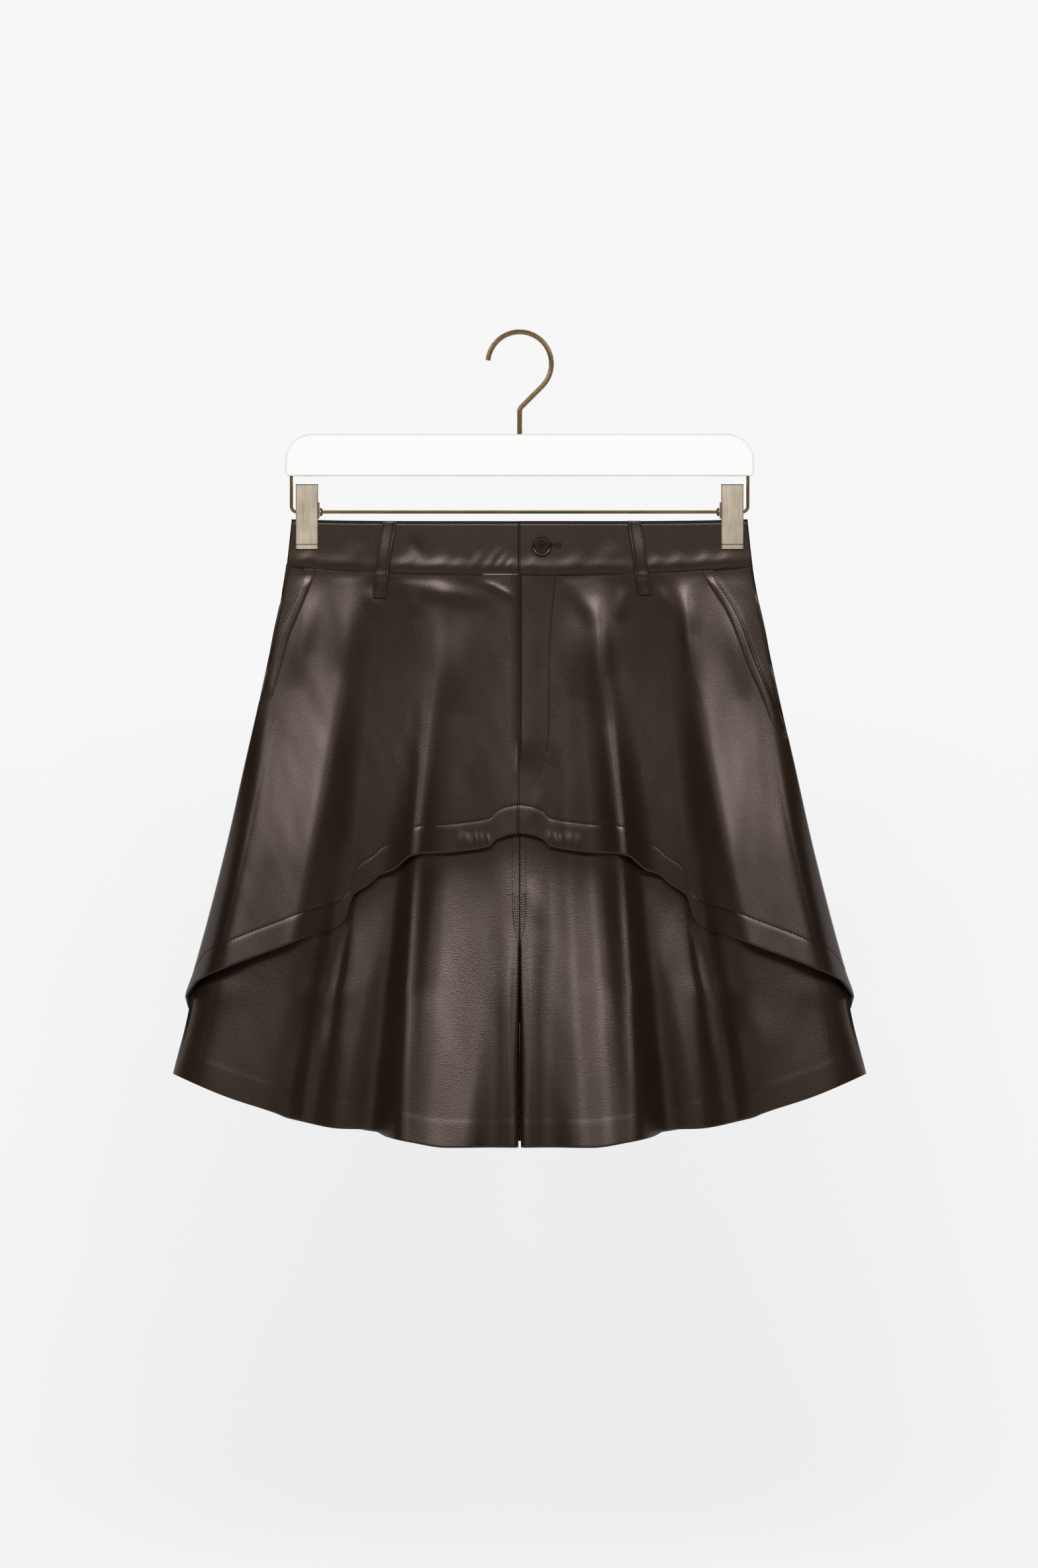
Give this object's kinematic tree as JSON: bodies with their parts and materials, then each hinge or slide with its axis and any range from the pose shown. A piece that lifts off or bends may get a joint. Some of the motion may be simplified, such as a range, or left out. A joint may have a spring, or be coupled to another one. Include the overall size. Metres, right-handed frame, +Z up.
{
  "type": "leather shorts on a clip hanger",
  "caption": "Divided leather shorts with a flared overlay that arches up at the front, slant pockets, belt loops and a buttoned waistband, hung by the waist from a bar hanger with clips.",
  "frame": {"origin": "highest point inside the hanger's hook, where a peg or rail carries it", "axes": "+Z up along the stem, +X towards the viewer's right seen from the front, front of the garment towards -Y"},
  "size_m": [0.5656, 0.0883, 0.6661],
  "materials": {
    "leather": "satin",
    "button": "polished",
    "white_bar": "painted, satin",
    "antique_metal": "brushed, antiqued"
  },
  "bodies": {
    "root": {"waistband_front_left": "leather", "waistband_front_right": "leather", "waistband_back": "leather", "overlay_front_left": "leather", "overlay_front_right": "leather", "overlay_back": "leather", "hip_left": "leather", "hip_right": "leather", "leg_front_left": "leather", "leg_front_right": "leather", "leg_back_left": "leather", "leg_back_right": "leather", "belt_loop_front_left": "leather", "belt_loop_front_right": "leather", "belt_loop_back_left": "leather", "belt_loop_back_centre": "leather", "belt_loop_back_right": "leather", "button": "button", "hanger_bar": "white_bar", "hanger_hook": "antique_metal", "hanger_rod": "antique_metal", "clip_front_left": "antique_metal", "clip_front_right": "antique_metal", "clip_back_left": "antique_metal", "clip_back_right": "antique_metal", "clip_collar_left": "antique_metal", "clip_collar_right": "antique_metal"}
  },
  "joints": []
}
